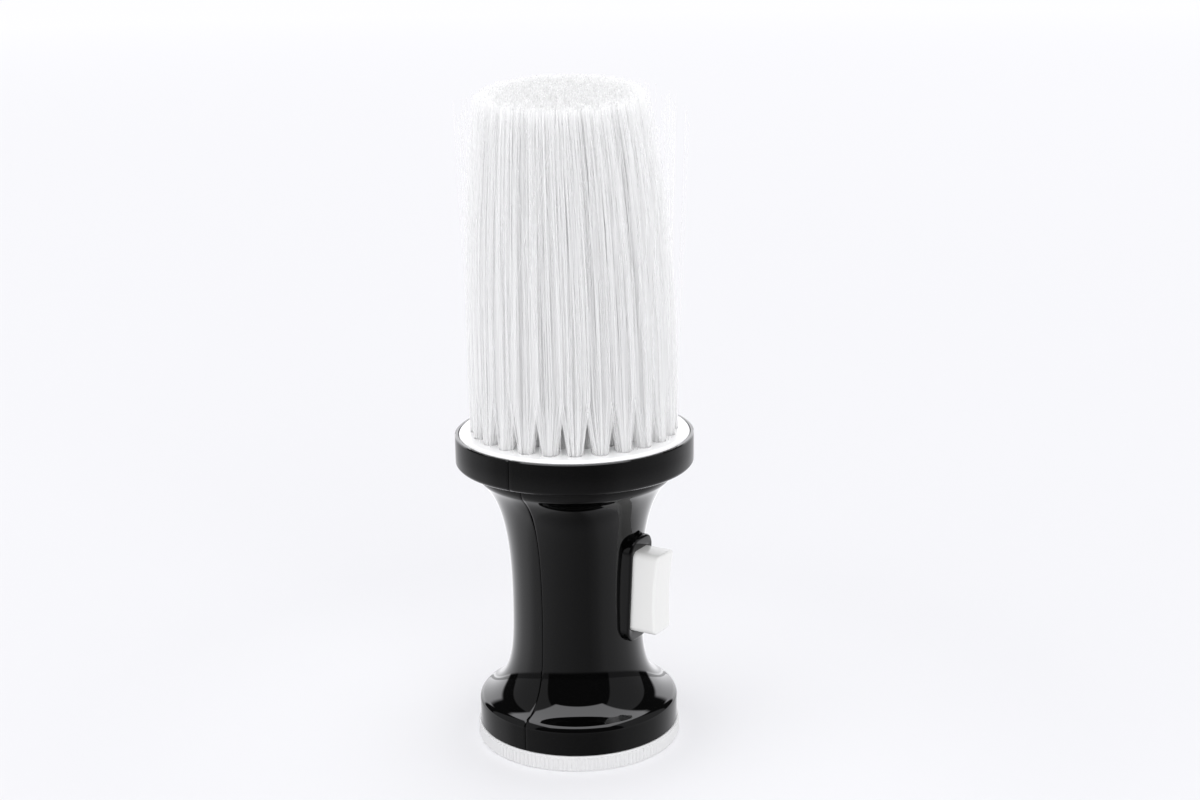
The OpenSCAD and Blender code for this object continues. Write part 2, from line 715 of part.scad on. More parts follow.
handle_half_front();
handle_half_rear();
locating_pins();
button_frame();
push_button();
button_plunger();
button_spring();
bellows();
bellows_seat();
inlet_flap();
outlet_flap();
canister_lid();
powder_canister();
air_dip_tube();
powder_tube_lower();
powder_tube_bend();
powder_tube_upper();
powder_nozzle();
tuft_plate();
tuft_anchors();
cap_seal();
bottom_cap();
bristles_outer();
bristles_second();
bristles_third();
bristles_inner();
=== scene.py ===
# %% [markdown]
# # A neck duster brush with a powder pump, dressed around its CAD frame
# The brush stands on a ribbed white screw cap. Its waisted black handle is moulded in two halves, a white
# button on its side works a small bellows, and a head of white nylon bristles fills the flange on top.
# The CAD model already holds every piece at its real size. This file gives each one its real surface.

# %% Load the frame
import math

import bmesh
import bpy
import numpy as np
from mathutils import Matrix, Vector


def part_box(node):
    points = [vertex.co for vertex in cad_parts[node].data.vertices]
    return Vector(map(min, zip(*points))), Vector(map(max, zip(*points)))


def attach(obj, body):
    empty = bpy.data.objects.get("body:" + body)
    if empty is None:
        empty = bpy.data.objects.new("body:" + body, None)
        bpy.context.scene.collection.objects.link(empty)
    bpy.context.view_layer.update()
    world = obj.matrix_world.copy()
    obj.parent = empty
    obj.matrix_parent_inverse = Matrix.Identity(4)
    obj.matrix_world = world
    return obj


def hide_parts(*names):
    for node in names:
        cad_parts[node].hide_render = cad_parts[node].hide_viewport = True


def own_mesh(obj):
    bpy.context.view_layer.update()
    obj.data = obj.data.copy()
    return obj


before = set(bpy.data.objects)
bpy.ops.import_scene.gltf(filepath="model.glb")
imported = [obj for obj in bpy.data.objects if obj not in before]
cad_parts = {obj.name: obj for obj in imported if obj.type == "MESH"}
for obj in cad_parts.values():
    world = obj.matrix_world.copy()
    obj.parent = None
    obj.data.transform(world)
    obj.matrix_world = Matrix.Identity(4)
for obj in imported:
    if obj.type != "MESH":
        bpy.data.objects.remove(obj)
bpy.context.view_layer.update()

# %% [markdown]
# ## Units and small helpers
# Blender works in metres, while a moulded part is thought of in millimetres, so sizes are written with
# mm. Four helpers are used all the way through: one turns a hex colour, as a designer writes it, into the
# linear values that the renderer needs; one adds a shader node; one turns a finished bmesh into an object;
# and one gives that object its material and its body, and hides the CAD nodes that it stands for.

# %% Helpers
mm = 0.001


def linear(hex_colour):
    """A colour such as "#ebebe9" as linear red, green, blue and alpha."""
    parts = [int(hex_colour[i:i + 2], 16) / 255 for i in (1, 3, 5)]
    return [c / 12.92 if c <= 0.04045 else ((c + 0.055) / 1.055) ** 2.4 for c in parts] + [1.0]


def add_node(tree, kind, inputs=None, **settings):
    """Adds a node. An input is given as a value or as the socket to link it to."""
    node = tree.nodes.new(kind)
    for name, value in settings.items():
        setattr(node, name, value)
    for name, value in (inputs or {}).items():
        if isinstance(value, bpy.types.NodeSocket):
            tree.links.new(value, node.inputs[name])
        else:
            node.inputs[name].default_value = value
    return node


def make_object(name, bm, smooth_angle=35):
    """Writes the bmesh to a new object at the origin, smooth except at edges sharper than the angle."""
    mesh = bpy.data.meshes.new(name)
    bm.to_mesh(mesh)
    bm.free()
    mesh.shade_smooth()
    mesh.set_sharp_from_angle(angle=math.radians(smooth_angle))
    piece = bpy.data.objects.new(name, mesh)
    bpy.context.scene.collection.objects.link(piece)
    print(f"{name}: {len(mesh.polygons)} faces")
    return piece


def dress(piece, material, body, slot, *nodes):
    """Gives a new piece its material and its body, and hides the CAD nodes that it stands for. The slot is not
    used.
    """
    piece.data.materials.append(material)
    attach(piece, body)
    if nodes:
        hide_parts(*nodes)


# %% [markdown]
# ## Camera
# A long lens at arm's length looks slightly down on the brush. The button points along +X, so a camera
# 32 degrees round from -Y sees it on the right. The tiny yaw and roll are those of a camera on a tripod.

# %% Camera
camera_side = 32
camera_azimuth = math.radians(camera_side)
camera_distance = 501.1 * mm
camera_height = 232.7 * mm
camera_yaw = math.radians(0.81)
camera_pitch = math.radians(15.21)
camera_roll = math.radians(-0.76)
sensor_width = 36.0
focal_length = 57.48

turn = Matrix.Rotation(camera_azimuth, 3, "Z")
forward = turn @ Vector((
    math.sin(camera_yaw) * math.cos(camera_pitch),
    math.cos(camera_yaw) * math.cos(camera_pitch),
    -math.sin(camera_pitch),
))
level_right = turn @ Vector((math.cos(camera_yaw), -math.sin(camera_yaw), 0))
level_up = level_right.cross(forward)
right = math.cos(camera_roll) * level_right + math.sin(camera_roll) * level_up
up = math.cos(camera_roll) * level_up - math.sin(camera_roll) * level_right

camera = bpy.data.objects.new("camera", bpy.data.cameras.new("camera"))
bpy.context.scene.collection.objects.link(camera)
axes = Matrix((right, up, -forward)).transposed().to_4x4()
place = turn @ Vector((0, -camera_distance, 0)) + Vector((0, 0, camera_height))
camera.matrix_world = Matrix.Translation(place) @ axes
camera.data.sensor_width = sensor_width
camera.data.lens = focal_length
camera.data.clip_start = 0.01
camera.data.clip_end = 50
bpy.context.scene.camera = camera
print("camera at", [round(c, 4) for c in place])

# %% [markdown]
# ## Studio
# The object is white and gloss black, so the light has to be soft, and the surroundings have to be drawn
# for the black plastic to mirror. The camera sees plain white, and the matt surfaces very nearly that.
# Glossy rays see a studio room, described by two angles: azimuth, from the camera's side round to the back,
# and elevation. The table in front of the object is dim, the sweep behind it is brighter than white, two
# grey walls stand left and right of the camera, and a softbox hangs overhead.

# %% World
scene = bpy.context.scene
scene.view_settings.view_transform = "Standard"
world = bpy.data.worlds.new("studio")
scene.world = world
world.use_nodes = True
tree = world.node_tree
tree.nodes.clear()


def maths(tree, operation, *values):
    """The result of one Math node."""
    return add_node(tree, "ShaderNodeMath", dict(enumerate(values)), operation=operation).outputs[0]


def step_up(tree, value, edge, softness):
    """0 below the edge and 1 above it, with a soft step between."""
    return add_node(tree, "ShaderNodeMapRange", {
        "Value": value, "From Min": edge - softness, "From Max": edge + softness,
    }, interpolation_type="SMOOTHSTEP").outputs[0]


def between(tree, value, low, high, softness):
    """1 between two edges and 0 outside them."""
    past_low, past_high = (step_up(tree, value, edge, softness) for edge in (low, high))
    return maths(tree, "SUBTRACT", past_low, past_high)


way = add_node(tree, "ShaderNodeTexCoord").outputs["Generated"]
turned = add_node(tree, "ShaderNodeVectorRotate", {
    "Vector": way, "Angle": -camera_azimuth}, rotation_type="Z_AXIS")
parts = add_node(tree, "ShaderNodeSeparateXYZ", {0: turned.outputs[0]})
across = parts.outputs["X"]
towards = maths(tree, "MULTIPLY", parts.outputs["Y"], -1.0)
height = parts.outputs["Z"]
azimuth = maths(tree, "DEGREES", maths(tree, "ARCTAN2", across, towards))
elevation = maths(tree, "DEGREES", maths(tree, "ARCSINE", height))
to_side = maths(tree, "ABSOLUTE", azimuth)

# %% [markdown]
# The ring of surroundings at table height: dim in front, a soft rise to both sides, and over-bright
# behind. Each pair is an azimuth in degrees and a brightness.

# %% Ring round the object
sweep_strength = 2.3
round_share = add_node(tree, "ShaderNodeMapRange", {
    "Value": azimuth, "From Min": -180.0, "From Max": 180.0}).outputs[0]
ring = add_node(tree, "ShaderNodeValToRGB", {"Fac": round_share})
stops = [
    (-180, 1.6), (-139, 1.12), (-115, 0.85), (-96, 0.78), (-81, 0.52), (-55, 0.42), (-30, 0.32), (0, 0.24),
    (20, 0.22), (35, 0.3), (46, 0.42), (69, 0.52), (95, 0.66), (111, 0.88), (132, 1.25), (180, 1.6),
]
elements = ring.color_ramp.elements
while len(elements) < len(stops):
    elements.new(0.5)
for element, (angle, brightness) in zip(elements, stops):
    element.position = (angle + 180) / 360
    level = brightness / sweep_strength
    element.color = (level, level, level, 1)
table = maths(tree, "MULTIPLY", ring.outputs["Color"], sweep_strength)

# %% [markdown]
# Above the table's edge come the two walls, the sweep behind and the softbox overhead. Walls and sweep are
# bounded by angles. The softbox is a flat square, so its edges are straight in the plane of its own height:
# they are found by dividing the way across and towards the camera by the way up.

# %% Walls, back and softbox above the horizon
wall_sides, wall_heights = (50, 113), (-20, 60)
wall_brightness = 0.34
back_starts, back_heights = 134, (-30, 30)
back_brightness = 2.3
softbox_brightness = 3.0
dark_room = 0.03
lowest_way_up = 0.2
softbox_half_width = 0.62
softbox_back, softbox_front = -0.75, 0.72
softbox_edge = 0.04
table_edge_elevation = -6

at_sides = between(tree, to_side, *wall_sides, 1.5)
walls = maths(tree, "MULTIPLY", at_sides, between(tree, elevation, *wall_heights, 2.0))
behind = step_up(tree, to_side, back_starts, 3)
low_behind = maths(tree, "MULTIPLY", behind, between(tree, elevation, *back_heights, 3.0))
over = maths(tree, "MAXIMUM", height, lowest_way_up)
box_x = maths(tree, "ABSOLUTE", maths(tree, "DIVIDE", across, over))
box_y = maths(tree, "DIVIDE", towards, over)
in_width = between(tree, box_x, -1, softbox_half_width, softbox_edge)
in_depth = between(tree, box_y, softbox_back, softbox_front, softbox_edge)
softbox_light = maths(tree, "MULTIPLY", maths(tree, "MULTIPLY", in_width, in_depth), softbox_brightness)
room = maths(tree, "MULTIPLY", walls, wall_brightness)
room = maths(tree, "ADD", room, maths(tree, "MULTIPLY", low_behind, back_brightness))
room = maths(tree, "MAXIMUM", room, softbox_light)
room = maths(tree, "ADD", room, dark_room)
above = step_up(tree, elevation, table_edge_elevation, 1.5)
surround = add_node(tree, "ShaderNodeMix", {"Factor": above, 2: table, 3: room}, data_type="FLOAT").outputs[0]

# %% [markdown]
# Each kind of ray gets its own background: the camera plain white, glossy rays the drawn room, and all the
# rest a fill a little brighter than white. Rays that have passed through a filament see plain white too.

# %% Which ray sees what
fill_strength = 1.06
ray = add_node(tree, "ShaderNodeLightPath")
plain = add_node(tree, "ShaderNodeBackground", {"Color": linear("#ffffff"), "Strength": 1.0})
fill = add_node(tree, "ShaderNodeBackground", {"Color": linear("#fdfdff"), "Strength": fill_strength})
mirrored = add_node(tree, "ShaderNodeBackground", {"Color": linear("#fcfcff"), "Strength": surround})
lit = add_node(tree, "ShaderNodeMixShader", {
    0: ray.outputs["Is Glossy Ray"], 1: fill.outputs[0], 2: mirrored.outputs[0]})
seen = maths(tree, "MAXIMUM", ray.outputs["Is Camera Ray"], ray.outputs["Is Transmission Ray"])
shown = add_node(tree, "ShaderNodeMixShader", {0: seen, 1: lit.outputs[0], 2: plain.outputs[0]})
add_node(tree, "ShaderNodeOutputWorld", {"Surface": shown.outputs[0]})
# Light that has been through a dozen filaments still shows, so the paths may be longer than usual.
scene.cycles.max_bounces = 12
scene.cycles.diffuse_bounces = 8
scene.cycles.transparent_max_bounces = 32
print("world:", len(tree.nodes), "nodes")

# %% [markdown]
# The floor is a matt white disc that takes the soft shadow under the cap. Glossy rays pass through it to
# the world's ring, tinted by where they meet it: darker in the object's own shadow, clear on the table, and
# dark again past the table's edge. That grading is what the handle's long reflections show.

# %% Floor
floor_radius = 4.5
glow_starts, glow_full = 0.25, 3.0
far_glow = 0.14
painted_shadow_lift = 0.09
painted_shadow_lift_edge, painted_shadow_lift_softness = 90 * mm, 60 * mm
shadow_tint = 0.65
shadow_edge, shadow_softness = 62 * mm, 14 * mm
table_edge, table_softness = 235 * mm, 40 * mm
past_table = 0.5

bm = bmesh.new()
bmesh.ops.create_circle(bm, cap_ends=True, segments=96, radius=floor_radius)
floor = make_object("floor", bm)
paper = bpy.data.materials.new("matt_white_paper")
paper.use_nodes = True
tree = paper.node_tree
tree.nodes.clear()
coords = add_node(tree, "ShaderNodeTexCoord")
distance = add_node(tree, "ShaderNodeVectorMath", {0: coords.outputs["Object"]}, operation="LENGTH")
away = distance.outputs["Value"]
# The camera sees the sheet glow a little near the cap, painted light that lifts the object's soft shadow
# there to a soft white, and far away, where it has to meet the white background.
fade = add_node(tree, "ShaderNodeMapRange", {
    "Value": away, "From Min": glow_starts, "From Max": glow_full,
    "To Min": 0.0, "To Max": far_glow}).outputs[0]
# Painted light: within about 90 mm of the cap the camera sees the sheet glow brighter, lifting the object's
# shadow.
near = maths(tree, "SUBTRACT", 1.0, step_up(tree, away, painted_shadow_lift_edge, painted_shadow_lift_softness))
fade = maths(tree, "ADD", fade, maths(tree, "MULTIPLY", near, painted_shadow_lift))
sheet = add_node(tree, "ShaderNodeBsdfDiffuse", {"Color": linear("#e9e9eb")})
out_of_shadow = step_up(tree, away, shadow_edge, shadow_softness)
off_table = step_up(tree, away, table_edge, table_softness)
tint = maths(tree, "ADD", shadow_tint, maths(tree, "MULTIPLY", out_of_shadow, 1 - shadow_tint))
tint = maths(tree, "SUBTRACT", tint, maths(tree, "MULTIPLY", off_table, past_table))
ray = add_node(tree, "ShaderNodeLightPath")
glow = add_node(tree, "ShaderNodeEmission", {
    "Strength": maths(tree, "MULTIPLY", fade, ray.outputs["Is Camera Ray"])})
whiter = add_node(tree, "ShaderNodeAddShader", {0: sheet.outputs[0], 1: glow.outputs[0]})
open_air = add_node(tree, "ShaderNodeBsdfTransparent", {
    "Color": add_node(tree, "ShaderNodeCombineColor", {0: tint, 1: tint, 2: tint}).outputs[0]})
mixed = add_node(tree, "ShaderNodeMixShader", {
    0: ray.outputs["Is Glossy Ray"], 1: whiter.outputs[0], 2: open_air.outputs[0]})
add_node(tree, "ShaderNodeOutputMaterial", {"Surface": mixed.outputs[0]})
floor.data.materials.append(paper)

# %% [markdown]
# Three large softboxes give the round forms a little direction: one high on the left, one behind, and one
# low in front that reaches the feet of the tufts. They are dim beside the white surroundings, so no hard
# shadow shows.

# %% Softboxes
def softbox(name, azimuth, elevation, distance, size, power):
    """A square lamp that faces the origin. Angles are in degrees, sizes in metres and the power in watts."""
    lamp = bpy.data.objects.new(name, bpy.data.lights.new(name, "AREA"))
    lamp.data.shape = "SQUARE"
    lamp.data.size = size
    lamp.data.energy = power
    lamp.visible_glossy = False
    a, e = math.radians(azimuth), math.radians(elevation)
    back = Vector((math.sin(a) * math.cos(e), -math.cos(a) * math.cos(e), math.sin(e)))
    lamp.matrix_world = Matrix.Translation(back * distance) @ back.to_track_quat("Z", "Y").to_matrix().to_4x4()
    scene.collection.objects.link(lamp)
    print(name, "at", [round(c, 2) for c in back * distance])


softbox("key_softbox", camera_side - 65, 50, 1.6, 1.4, 2.0)
softbox("back_softbox", camera_side + 150, 55, 1.8, 1.6, 1.2)
softbox("front_softbox", camera_side + 12, 14, 1.6, 1.4, 7.5)

# %% [markdown]
# ## Finishes
# Moulded plastics have no visible grain. What the eye reads is how sharp the mirror image in them is, the
# slight unevenness that a mould and cooling leave, and how light enters a pale one. So each plastic gets a
# fine change of roughness and a very low, wide bump.

# %% Plastics
grain_size = 0.6 * mm


def moulded(name, colour, roughness, ior, wave_size, wave_height, speck=0.02):
    """A moulded plastic: roughness varies by speck, and the skin waves by wave_height over wave_size."""
    material = bpy.data.materials.new(name)
    material.use_nodes = True
    tree = material.node_tree
    tree.nodes.clear()
    coords = add_node(tree, "ShaderNodeTexCoord").outputs["Object"]
    waves = add_node(tree, "ShaderNodeTexNoise", {"Vector": coords, "Scale": 1 / wave_size, "Detail": 1.0})
    grain = add_node(tree, "ShaderNodeTexNoise", {"Vector": coords, "Scale": 1 / grain_size, "Detail": 2.0})
    rough = add_node(tree, "ShaderNodeMapRange", {
        "Value": grain.outputs["Fac"], "From Min": 0.3, "From Max": 0.7,
        "To Min": max(0.0, roughness - speck), "To Max": roughness + speck})
    bump = add_node(tree, "ShaderNodeBump", {
        "Height": waves.outputs["Fac"], "Distance": wave_height, "Strength": 1.0})
    shader = add_node(tree, "ShaderNodeBsdfPrincipled", {
        "Base Color": linear(colour), "Roughness": rough.outputs[0], "IOR": ior, "Normal": bump.outputs[0]})
    add_node(tree, "ShaderNodeOutputMaterial", {"Surface": shader.outputs[0]})
    return material


# High-gloss ABS: a polished mould leaves a mirror skin, so it shows its surroundings sharply.
black_abs = moulded("gloss_black_abs", "#040404", 0.03, 1.5, 14 * mm, 0.002 * mm, speck=0.01)
# White ABS: the same polish, but the pigment under the skin hides most of the mirror image.
white_abs = moulded("gloss_white_abs", "#e5e5e3", 0.22, 1.5, 10 * mm, 0.004 * mm)
# The plate that holds the tufts is the same plastic in a clean, cooler white.
plate_plastic = moulded("plate_white_abs", "#fafafa", 0.22, 1.5, 10 * mm, 0.004 * mm)
# Polypropylene cap: waxier and softer to the light than ABS.
cap_plastic = moulded("satin_white_polypropylene", "#e2e2e2", 0.38, 1.49, 8 * mm, 0.004 * mm)
# Unpigmented polypropylene, as in the canister and tubes: milky and slightly see-through.
milky_plastic = moulded("milky_polypropylene", "#dedede", 0.35, 1.49, 8 * mm, 0.004 * mm)
white_nylon = moulded("moulded_white_nylon", "#dcdcd4", 0.42, 1.53, 8 * mm, 0.004 * mm)
# Silicone rubber for the bellows, flaps and seal: matt, dark grey.
grey_rubber = moulded("grey_silicone_rubber", "#4c4c4e", 0.7, 1.42, 5 * mm, 0.01 * mm)
plastics = (black_abs, white_abs, plate_plastic, cap_plastic, milky_plastic, white_nylon, grey_rubber)
print("plastics:", [plastic.name for plastic in plastics])

# %% [markdown]
# Spring wire and the tufts' anchors are drawn steel. Drawing leaves it bright, with fine lines along the wire.

# %% Drawn steel
steel = bpy.data.materials.new("drawn_spring_steel")
steel.use_nodes = True
tree = steel.node_tree
tree.nodes.clear()
coords = add_node(tree, "ShaderNodeTexCoord").outputs["Object"]
lines = add_node(tree, "ShaderNodeTexNoise", {"Vector": coords, "Scale": 1 / (0.2 * mm), "Detail": 2.0})
dulling = add_node(tree, "ShaderNodeMapRange", {"Value": lines.outputs["Fac"], "To Min": 0.2, "To Max": 0.4})
wire = add_node(tree, "ShaderNodeBsdfPrincipled", {
    "Base Color": linear("#c3c5c8"), "Metallic": 1.0, "Roughness": dulling.outputs[0]})
add_node(tree, "ShaderNodeOutputMaterial", {"Surface": wire.outputs[0]})
print("metal:", steel.name)

# %% [markdown]
# Brush nylon is drawn through a die: a clear, glassy filament. In a bundle thousands of them scatter the
# light, so the head looks soft white, with a faint warm grey where the light has passed through more of it.

# %% Nylon filament
streaks_per_metre = (900.0, 900.0, 12.0)
clearest, milkiest = 0.78, 0.66
nylon = bpy.data.materials.new("drawn_nylon_filament")
nylon.use_nodes = True
tree = nylon.node_tree
tree.nodes.clear()
coords = add_node(tree, "ShaderNodeTexCoord").outputs["Object"]
stretch = add_node(tree, "ShaderNodeMapping", {"Vector": coords, "Scale": streaks_per_metre})
streaks = add_node(tree, "ShaderNodeTexNoise", {"Vector": stretch.outputs[0], "Scale": 1.0, "Detail": 1.0})
clearness = add_node(tree, "ShaderNodeMapRange", {
    "Value": streaks.outputs["Fac"], "From Min": 0.3, "From Max": 0.7, "To Min": milkiest, "To Max": clearest})
# A filament's own highlight is far finer than a view of the whole brush can show, so the skin is matt.
skin = add_node(tree, "ShaderNodeBsdfPrincipled", {
    "Base Color": linear("#ffffff"), "Roughness": 0.5, "IOR": 1.53, "Specular IOR Level": 0.0})
glow = add_node(tree, "ShaderNodeBsdfTranslucent", {"Color": linear("#ffffff")})
clear = add_node(tree, "ShaderNodeBsdfTransparent")
milky = add_node(tree, "ShaderNodeMixShader", {0: 0.5, 1: skin.outputs[0], 2: glow.outputs[0]})
glassy = add_node(tree, "ShaderNodeMixShader", {
    0: clearness.outputs[0], 1: milky.outputs[0], 2: clear.outputs[0]})
add_node(tree, "ShaderNodeOutputMaterial", {"Surface": glassy.outputs[0]})
print("filament:", nylon.name, "lets", milkiest, "to", clearest, "of the light straight through")

# %% [markdown]
# ## Handle halves
# The handle is one smooth sweep: base band, rounded shoulder, long waist, collar, flange. All of it is
# round, so one half is a lathe job: the wall's outline is spun through half a turn about Z, and the other
# half is its mirror image. Where the halves meet, each edge gets a fine bevel, and with the gap between
# them that makes the parting line. The main radii are measured on the CAD halves, so both models share them.

# %% Measure the handle
half_low, half_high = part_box("handle_half_front")
flange_r = half_high.y
flange_top = half_high.z
base_z = half_low.z
rear_points = [v.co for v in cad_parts["handle_half_rear"].data.vertices]


def radius_between(low, high):
    """The handle's outer radius in a band of heights."""
    return max(math.hypot(p.x, p.y) for p in rear_points if low <= p.z <= high)


base_r = radius_between(base_z, base_z + 5 * mm)
collar_r = radius_between(flange_top - 10.6 * mm, flange_top - 10.2 * mm)
waist_z = 39.4 * mm
waist_r = radius_between(waist_z - 0.2 * mm, waist_z + 0.2 * mm)
main_radii = (base_r, waist_r, collar_r, flange_r)
print("base, waist, collar, flange radius in mm:", [round(r / mm, 2) for r in main_radii])

# %% [markdown]
# The wall's outline is a chain of arcs and two Bezier curves that meet at the waist. The inner line is the
# same chain moved in by the wall's thickness, with a ledge at the neck and a groove round the base.

# %% Outline of the handle's wall
wall = 1.8 * mm
shoulder_r = 2.2 * mm
band_top = base_z + 6.3 * mm
flange_z = flange_top - 8.5 * mm
collar_bend = 3.2 * mm
collar_fillet = 1.8 * mm
collar_z = flange_z - collar_fillet - 0.2 * mm
flange_edge = 1.0 * mm
lip = 0.9 * mm
lip_bevel = 0.25 * mm
shoulder_end = math.radians(65)
collar_turn = math.radians(47)
shoulder_pull, waist_reach, collar_pull = 8.5 * mm, 16 * mm, 9 * mm
ledge_depth = 1.9 * mm
groove_depth = 1.0 * mm
groove_low, groove_high = 2.2 * mm, 3.8 * mm


def arc(centre, radius, start, end, steps):
    """Points on an arc, as (radius from the axis, height), by angle in radians."""
    angles = [start + (end - start) * i / steps for i in range(steps + 1)]
    return [
        Vector((centre[0] + radius * math.cos(a), centre[1] + radius * math.sin(a)))
        for a in angles
    ]


def bezier(a, b, c, d, steps):
    """Points on a cubic Bezier curve, without its first point."""
    points = []
    for i in range(1, steps + 1):
        t = i / steps
        s = 1 - t
        points.append(s ** 3 * a + 3 * s * s * t * b + 3 * s * t * t * c + t ** 3 * d)
    return points


shoulder = arc((base_r - shoulder_r, band_top), shoulder_r, 0, shoulder_end, 12)
collar = arc((collar_r - collar_bend, collar_z), collar_bend, -collar_turn, 0, 10)
waist = Vector((waist_r, waist_z))
waist_pull = Vector((0, waist_reach))
low_pull = shoulder[-1] + shoulder_pull * Vector((-math.sin(shoulder_end), math.cos(shoulder_end)))
high_pull = collar[0] - collar_pull * Vector((math.sin(collar_turn), math.cos(collar_turn)))
side = (
    [Vector((base_r, base_z))]
    + shoulder
    + bezier(shoulder[-1], low_pull, waist - waist_pull, waist, 30)
    + bezier(waist, waist + waist_pull, high_pull, collar[0], 30)
    + collar[1:]
)
fillet = arc((collar_r + collar_fillet, flange_z - collar_fillet), collar_fillet, math.pi, math.pi / 2, 8)
edge = arc((flange_r - flange_edge, flange_z + flange_edge), flange_edge, -math.pi / 2, 0, 8)
rim = [
    Vector((flange_r, flange_top - lip_bevel)),
    Vector((flange_r - lip_bevel, flange_top)),
    Vector((flange_r - lip, flange_top)),
    Vector((flange_r - lip, flange_z + wall)),
]


def inset(line, distance):
    """The line moved towards the axis, square to itself."""
    moved = []
    for i, point in enumerate(line):
        along = (line[min(i + 1, len(line) - 1)] - line[max(i - 1, 0)]).normalized()
        moved.append(point + distance * Vector((-along.y, along.x)))
    return moved


neck_r = collar_r - wall
ledge_r = neck_r - ledge_depth
ledge = [Vector((ledge_r, flange_z + wall)), Vector((ledge_r, flange_z)), Vector((neck_r, flange_z))]
inside = [p for p in inset(side, wall)[1:] if p.x < base_r - wall - 0.01 * mm]
bore_r = base_r - wall
groove_r = base_r - groove_depth
groove = [
    Vector((bore_r, base_z + groove_high)),
    Vector((groove_r, base_z + groove_high)),
    Vector((groove_r, base_z + groove_low)),
    Vector((bore_r, base_z + groove_low)),
    Vector((bore_r, base_z)),
]
outline = side + fillet + edge + rim + ledge + inside[::-1] + groove
print("wall outline:", len(outline), "points")


def radius_at(z):
    """The handle's outer radius at a height on its waist."""
    for low, high in zip(side, side[1:]):
        if low.y <= z <= high.y:
            return low.x + (high.x - low.x) * (z - low.y) / (high.y - low.y)
    return collar_r


# %% [markdown]
# The button's window is cut with bisecting planes, four square and four across the corners. They add edges
# but leave the skin's shape alone, so the gloss runs undisturbed up to the opening. The faces inside are
# removed and the two skins bridged.

# %% Cut the window
button_low, button_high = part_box("push_button")
frame_low, frame_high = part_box("button_frame")
button_z = (button_low.z + button_high.z) / 2
sleeve_w = 11.1 * mm
sleeve_h = 25.0 * mm
window_gap = 0.05 * mm
window_corner = 1.6 * mm
cut_margin = 1.5 * mm
button_side = 5 * mm


def window_planes():
    """Each plane as its outward direction and its distance from the middle of the window."""
    half_w = sleeve_w / 2 + window_gap
    half_h = sleeve_h / 2 + window_gap
    planes = []
    for sign in (-1, 1):
        planes.append((Vector((0, sign, 0)), half_w))
        planes.append((Vector((0, 0, sign)), half_h))
        for other in (-1, 1):
            corner = Vector((0, sign, other)).normalized()
            planes.append((corner, (half_w + half_h - window_corner) / math.sqrt(2)))
    return planes


def cut_window(bm):
    """Opens both skins on the +X side for the button."""
    middle = Vector((0, 0, button_z))

    def inside_by(face, margin):
        place = face.calc_center_median() - middle
        within = all(place.dot(out) < distance + margin for out, distance in window_planes())
        return place.x > button_side and within

    for out, distance in window_planes():
        near = [f for f in bm.faces if inside_by(f, cut_margin)]
        geom = near + list({e for f in near for e in f.edges}) + list({v for f in near for v in f.verts})
        bmesh.ops.bisect_plane(bm, geom=geom, plane_co=middle + out * distance, plane_no=out)
    bmesh.ops.delete(bm, geom=[f for f in bm.faces if inside_by(f, 0)], context="FACES")
    bmesh.ops.bridge_loops(bm, edges=[e for e in bm.edges if e.is_boundary])


# %% [markdown]
# Inside, three pairs of bosses hold the locating pins that keep the halves in line. A boss is a chain of
# bridged circles with a blind hole, whose mouth is a little funnel. Its far end is let into the wall by
# moving each of its points onto a surface half a wall deep.

# %% Bosses for the locating pins
boss_heights = [waist_z - 2.4 * mm, waist_z + 16.6 * mm, collar_z - 6.5 * mm]
boss_r = 2.2 * mm
pin_hole_r = 1.05 * mm
pin_hole_depth = 3.5 * mm
funnel = 0.3 * mm
boss_reach = 0.81
boss_length = 10 * mm
stand_off = 30 * mm


def bridge(bm, a, b):
    """Bridges two loops that stand across X. The second steps aside meanwhile, because loops that share a
    plane can come out joined the wrong way round."""
    moved = list({v for e in b for v in e.verts})
    bmesh.ops.translate(bm, verts=moved, vec=(-stand_off, 0, 0))
    bmesh.ops.bridge_loops(bm, edges=a + b)
    bmesh.ops.translate(bm, verts=moved, vec=(stand_off, 0, 0))


def add_boss(bm, y, z):
    """A boss whose mouth stands on the parting plane, with its blind hole."""
    chain = []
    for radius, x in ((boss_r, boss_length), (boss_r, 0), (pin_hole_r, funnel), (pin_hole_r, pin_hole_depth)):
        circle = bmesh.ops.create_circle(bm, segments=24, radius=radius)["verts"]
        bmesh.ops.rotate(bm, verts=circle, cent=(0, 0, 0), matrix=Matrix.Rotation(math.pi / 2, 3, "Y"))
        bmesh.ops.translate(bm, verts=circle, vec=(x, y, z))
        if not chain:
            for v in circle:
                v.co.x = math.sqrt((radius_at(v.co.z) - wall / 2) ** 2 - v.co.y ** 2)
        chain.append(list({e for v in circle for e in v.link_edges}))
    for a, b in zip(chain, chain[1:]):
        bridge(bm, a, b)
    for end in (chain[0], chain[-1]):
        bmesh.ops.contextual_create(bm, geom=end)


print("bosses at", [round(z / mm, 1) for z in boss_heights], "mm")

# %% [markdown]
# Spinning an edge loop leaves the wall open on the parting plane, so the two ends are filled. The outer
# edges there get a very small bevel, and the two halves stand a hair apart: on the real handle that is a
# fine dark line, a little wider under the collar, where the halves don't quite close.

# %% Spin the halves
half_turn_steps = 96
seam_bevel = 0.05 * mm
seam_half_gap = 0.09 * mm
seam_flaw = 0.12 * mm
flaw_z = 69 * mm
flaw_spread = 3.5 * mm
at_seam = 0.1 * mm


